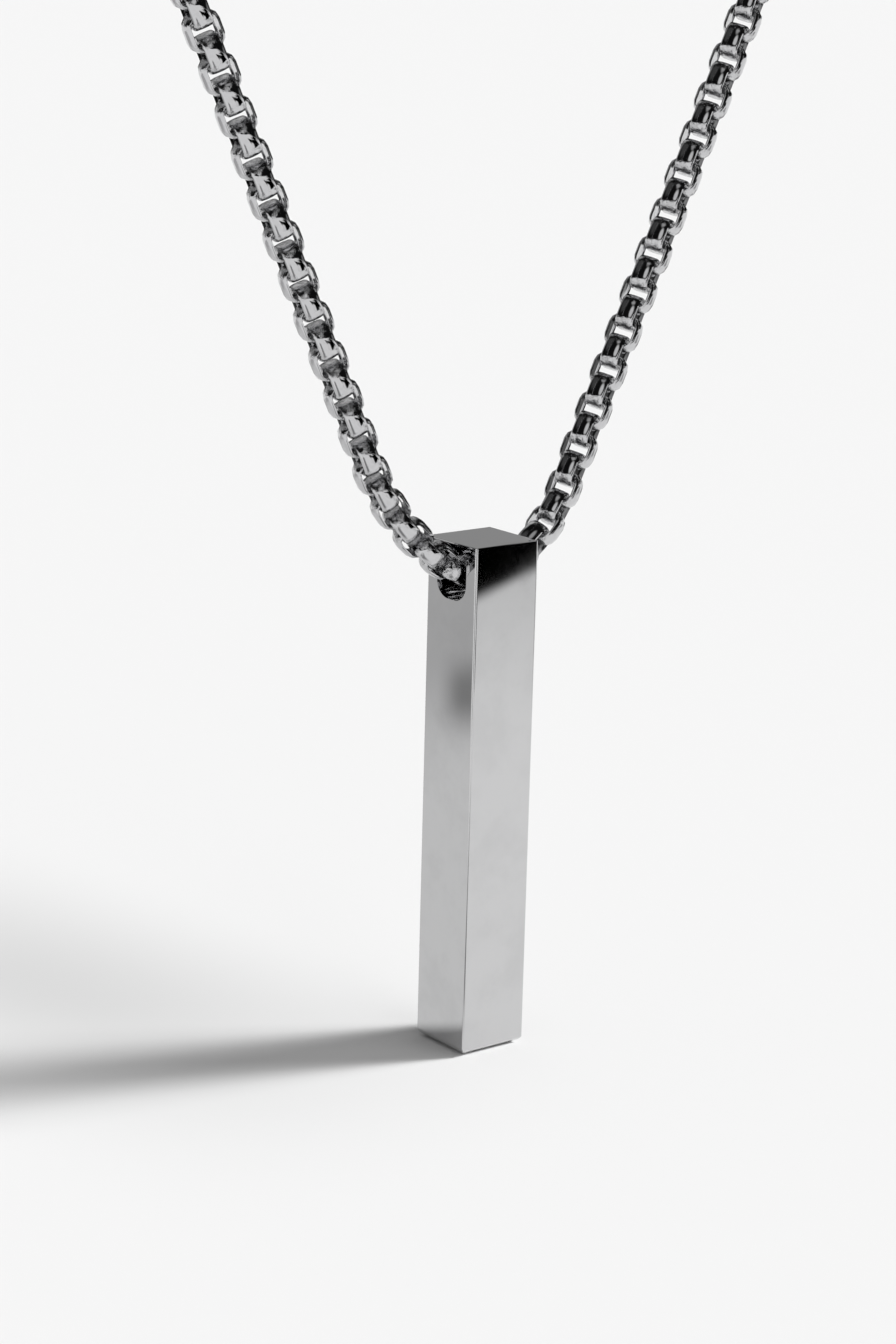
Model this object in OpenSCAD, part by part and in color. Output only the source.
// Square bar pendant hanging on a rounded box chain, closed by a plain clasp.
// Millimetres. +Z is up, X runs along the bar's slot, -Y is the front.
// The origin is on the inner face of the clasp, where it rests on the nape, and the loop
// hangs below it.

/* [Bar] */
// Length of the bar from top face to foot
bar_len = 44; // [35:0.5:60]
// Width of the bar, the same both ways
bar_w = 6.5; // [6:0.05:9]
// Radius of the four long edges
edge_r = 0.2; // [0.1:0.05:0.8]
// Radius of the edges round the foot
foot_r = 0.8; // [0.2:0.05:1.2]
// Bevel round the top face
top_bevel = 0.05; // [0.05:0.05:0.4]

/* [Slot] */
// Clearance between the chain and each side wall of the slot
slot_gap = 0.45; // [0.25:0.01:0.6]
// Room left under the chain in the slot
slot_room = 0.6; // [0.3:0.05:2]
// Width of the flat middle of the slot's floor
slot_flat = 0.9; // [0.1:0.1:1.5]
// Height of the flare at the mouth of the slot
flare_h = 1.3; // [0.6:0.05:1.6]
// Wall left beside the flare at the top face
flare_land = 0.15; // [0.12:0.01:0.6]
// Depth of the bridge at its middle
bridge_depth = 1.1; // [0.8:0.05:1.3]
// Thickness of the bridge at its two ends
bridge_land = 0.15; // [0.1:0.05:0.4]
// Clearance between the bridge and the chain under it
bridge_gap = 0.16; // [0.12:0.01:0.4]

/* [Chain] */
// Length of the whole necklace round its middle line
chain_length = 450; // [400:5:460]
// Outer diameter of the chain
chain_d = 3; // [2.8:0.05:3.2]
// Length of one link
link_len = 2.95; // [2.85:0.05:3.2]
// Thickness of a link's band
band_t = 0.42; // [0.35:0.01:0.48]
// Radius of a link's corners
link_r = 0.95; // [0.5:0.05:1.1]
// Radius of the corners inside a link
eye_r = 0.2; // [0.1:0.05:0.4]
// Play between the ends of two links that hold each other
end_play = 0.35; // [0.3:0.01:0.4]
// Play between a link's band and the sides of the next link
side_play = 0.29; // [0.2:0.005:0.35]
// Turn of the left strand's links about the chain's own line
roll_left = 14; // [0:1:45]
// Turn of the right strand's links about the chain's own line
roll_right = 30; // [0:1:45]
// Reach to each side of the bar over which the turn changes
twist_reach = 20; // [10:1:60]
// How far the chain has slid to the left through the bar
chain_slide = 0.82; // [0:0.01:1.2]

/* [Hang] */
// Lean of each strand from upright
strand_lean = 25.1; // [18:0.1:32]
// Radius of the bend under the bridge
bend_r = 8; // [7.8:0.1:10]
// Reach of that bend to each side, as an angle
bend_angle = 32; // [25:1:40]
// Radius of the easier bend above it on the left
ease_r_left = 20.5; // [12:0.5:24]
// Radius of the easier bend above it on the right
ease_r_right = 11; // [10:0.5:24]

/* [Clasp] */
// Length of the clasp's barrel
clasp_len = 15; // [10:0.5:18]
// Diameter of the barrel
clasp_d = 4.4; // [4:0.1:5.5]
// Radius of the barrel's rounded ends
clasp_r = 1.3; // [0.5:0.1:1.6]

/* [Hidden] */
$fn = 48;
steel = [0.78, 0.78, 0.79];
dark_steel = [0.6, 0.6, 0.62];
over = 1;
// Sides of the chain's round outline
chain_sides = 12;

// Links: every second one lies in the plane of the loop, the others across it
link_pitch = link_len - 2 * band_t - end_play;
band_w = chain_d - 2 * band_t - 2 * side_play;
eye_span = clasp_len + link_len - 2 * band_t;
half_count = floor((chain_length - eye_span) / link_pitch / 2 - 0.5);
loop_length = 2 * (half_count + 1) * link_pitch + eye_span;

// The loop in its own plane, from the chain's lowest point under the bridge
strand_rise = 90 - strand_lean;
ease_r = [ease_r_left, ease_r_right];
bend_x = bend_r * sin(bend_angle);
bend_z = bend_r * (1 - cos(bend_angle));
ease_x = [for (r = ease_r) bend_x + r * (sin(strand_rise) - sin(bend_angle))];
ease_z = [for (r = ease_r) bend_z + r * (cos(bend_angle) - cos(strand_rise))];
bend_run = bend_r * bend_angle * PI / 180;
ease_run = [for (r = ease_r) r * (strand_rise - bend_angle) * PI / 180];
foot_x = [for (i = [0, 1]) ease_x[i] - ease_z[i] * tan(strand_lean)];
foot_half = (foot_x[0] + foot_x[1]) / 2;
loop_x = (foot_x[1] - foot_x[0]) / 2;
top_turn = (180 - strand_rise) * PI / 180;

// Height where the strands meet the round top, so that the whole loop has its length
known_run = 2 * bend_run + ease_run[0] + ease_run[1] + eye_span
    - (ease_z[0] + ease_z[1]) / sin(strand_rise)
    + top_turn * (2 * foot_half - eye_span) / sin(strand_rise);
run_per_rise = 2 * (1 + top_turn * tan(strand_lean)) / sin(strand_rise);
shoulder_z = (loop_length - known_run) / run_per_rise;
shoulder_x = foot_half + shoulder_z * tan(strand_lean);
top_r = (shoulder_x - eye_span / 2) / sin(strand_rise);
loop_height = shoulder_z + top_r * (1 + cos(strand_rise));
strand_run = [for (z = ease_z) (shoulder_z - z) / sin(strand_rise)];
side_run = [for (i = [0, 1])
    bend_run + ease_run[i] + strand_run[i] + top_r * top_turn + eye_span / 2];
first_s = (side_run[1] - side_run[0]) / 2 - chain_slide;

// Places on the part, from the nape
low_z = clasp_d / 2 - loop_height;
bar_x = -loop_x;
bar_z = low_z + chain_d / 2 + bridge_gap + bridge_depth;
slot_r = chain_d / 2 + slot_gap;
slot_floor = -bridge_depth - bridge_gap - chain_d - slot_room;
slot_corner_r = slot_r - slot_flat / 2;
bridge_half = bar_w / 2;
bridge_sag = bridge_depth - bridge_land;
bridge_r = (bridge_half * bridge_half + bridge_sag * bridge_sag) / (2 * bridge_sag);

// A point d along one side of the loop from its lowest point, as [x, z, heading]
function on_bend(d) =
    let (a = d / bend_r * 180 / PI)
    [bend_r * sin(a), bend_r * (1 - cos(a)), a];
function on_ease(d, i) =
    let (a = bend_angle + d / ease_r[i] * 180 / PI)
    [bend_x + ease_r[i] * (sin(a) - sin(bend_angle)),
     bend_z + ease_r[i] * (cos(bend_angle) - cos(a)), a];
function on_strand(d, i) =
    [ease_x[i] + d * cos(strand_rise), ease_z[i] + d * sin(strand_rise), strand_rise];
function on_top(d, i) =
    let (a = strand_rise + d / top_r * 180 / PI,
         x = ease_x[i] + strand_run[i] * cos(strand_rise))
    [x + top_r * (sin(a) - sin(strand_rise)),
     shoulder_z + top_r * (cos(strand_rise) - cos(a)), a];
function on_side(d, i) =
    d < bend_run ? on_bend(d) :
    d < bend_run + ease_run[i] ? on_ease(d - bend_run, i) :
    d < bend_run + ease_run[i] + strand_run[i] ? on_strand(d - bend_run - ease_run[i], i) :
    on_top(d - bend_run - ease_run[i] - strand_run[i], i);
function on_loop(s) =
    let (p = on_side(abs(s), s < 0 ? 0 : 1))
    s < 0 ? [-p[0], p[1], -p[2]] : p;

// Turn of the links at a place on the loop, changing smoothly from left to right
function roll_at(s) =
    let (t = min(max((s / twist_reach + 1) / 2, 0), 1))
    roll_left + (roll_right - roll_left) * t * t * (3 - 2 * t);

// A rectangle with round corners, centred
module round_rect(l, h, r) {
    square([l - 2 * r, h], center = true);
    square([l, h - 2 * r], center = true);
    for (x = [-1, 1], y = [-1, 1])
        translate([x * (l / 2 - r), y * (h / 2 - r)]) circle(r);
}

// One link: a flat band bent to a loop in the XZ plane, its outside facetted round X
module link() {
    intersection() {
        rotate([90, 0, 0])
            linear_extrude(height = band_w, center = true)
                difference() {
                    round_rect(link_len, chain_d, link_r);
                    round_rect(link_len - 2 * band_t, chain_d - 2 * band_t, eye_r);
                }
        rotate([0, 90, 0])
            rotate([0, 0, 180 / chain_sides])
                cylinder(d = chain_d / cos(180 / chain_sides), h = link_len + over,
                         center = true, $fn = chain_sides);
    }
}

// A link at its place along the chain, turned a quarter more than the one before it
module placed_link(k) {
    s = first_s + k * link_pitch;
    p = on_loop(s);
    translate([bar_x + p[0], 0, low_z + p[1]])
        rotate([0, -p[2], 0])
            rotate([roll_at(s) + (k % 2 == 0 ? 0 : 90), 0, 0])
                link();
}

// The upright side of the bar: a bevel at the top corners, round corners at the foot
module bar_side() {
    h = bar_w / 2;
    polygon([[-h + foot_r, -bar_len], [h - foot_r, -bar_len], [h, -bar_len + foot_r],
             [h, -top_bevel], [h - top_bevel, 0], [-h + top_bevel, 0], [-h, -top_bevel],
             [-h, -bar_len + foot_r]]);
    for (x = [-1, 1])
        translate([x * (h - foot_r), -bar_len + foot_r]) circle(foot_r);
}

// The body of the bar with every edge dressed
module bar_body() {
    intersection() {
        translate([0, 0, -bar_len])
            linear_extrude(height = bar_len) round_rect(bar_w, bar_w, edge_r);
        rotate([90, 0, 0])
            linear_extrude(height = bar_w + over, center = true) bar_side();
        rotate([0, 0, 90]) rotate([90, 0, 0])
            linear_extrude(height = bar_w + over, center = true) bar_side();
    }
}

// The slot's section: a floor with round corners, upright walls and a flare at the top face
module slot_section() {
    flare_x = bar_w / 2 - flare_land;
    slope = (flare_x - slot_r) / flare_h;
    wall_z = slot_floor + slot_corner_r;
    for (x = [-1, 1])
        translate([x * slot_flat / 2, wall_z]) circle(slot_corner_r);
    polygon([[-slot_flat / 2, slot_floor], [slot_flat / 2, slot_floor], [slot_r, wall_z],
             [slot_r, -flare_h], [flare_x + slope * over, over],
             [-flare_x - slope * over, over], [-slot_r, -flare_h], [-slot_r, wall_z]]);
}

// The bridge over the chain: flat on top, its underside curved like a saddle
module bridge() {
    rotate([90, 0, 0])
        linear_extrude(height = bar_w, center = true)
            intersection() {
                translate([0, bridge_r - bridge_depth]) circle(bridge_r, $fn = 96);
                translate([-bar_w, -bridge_depth]) square([2 * bar_w, bridge_depth]);
            }
}

module bar() {
    color(steel)
        translate([bar_x, 0, bar_z])
            difference() {
                bar_body();
                difference() {
                    rotate([0, 0, 90]) rotate([90, 0, 0])
                        linear_extrude(height = bar_w + over, center = true) slot_section();
                    bridge();
                }
            }
}

module chain() {
    color(dark_steel)
        for (k = [-half_count : half_count]) placed_link(k);
}

// A round-ended barrel with a link-shaped eye at each end
module clasp() {
    eye_turn = half_count % 2 == 0 ? 90 : 0;
    color(steel)
        translate([chain_slide, 0, clasp_d / 2]) {
            rotate([0, 90, 0])
                rotate_extrude()
                    intersection() {
                        round_rect(clasp_d, clasp_len, clasp_r);
                        translate([0, -clasp_len]) square([clasp_d, 2 * clasp_len]);
                    }
            for (end = [[-1, roll_left], [1, roll_right]])
                translate([end[0] * eye_span / 2, 0, 0])
                    rotate([eye_turn - end[1], 0, 0])
                        link();
        }
}

bar();
chain();
clasp();
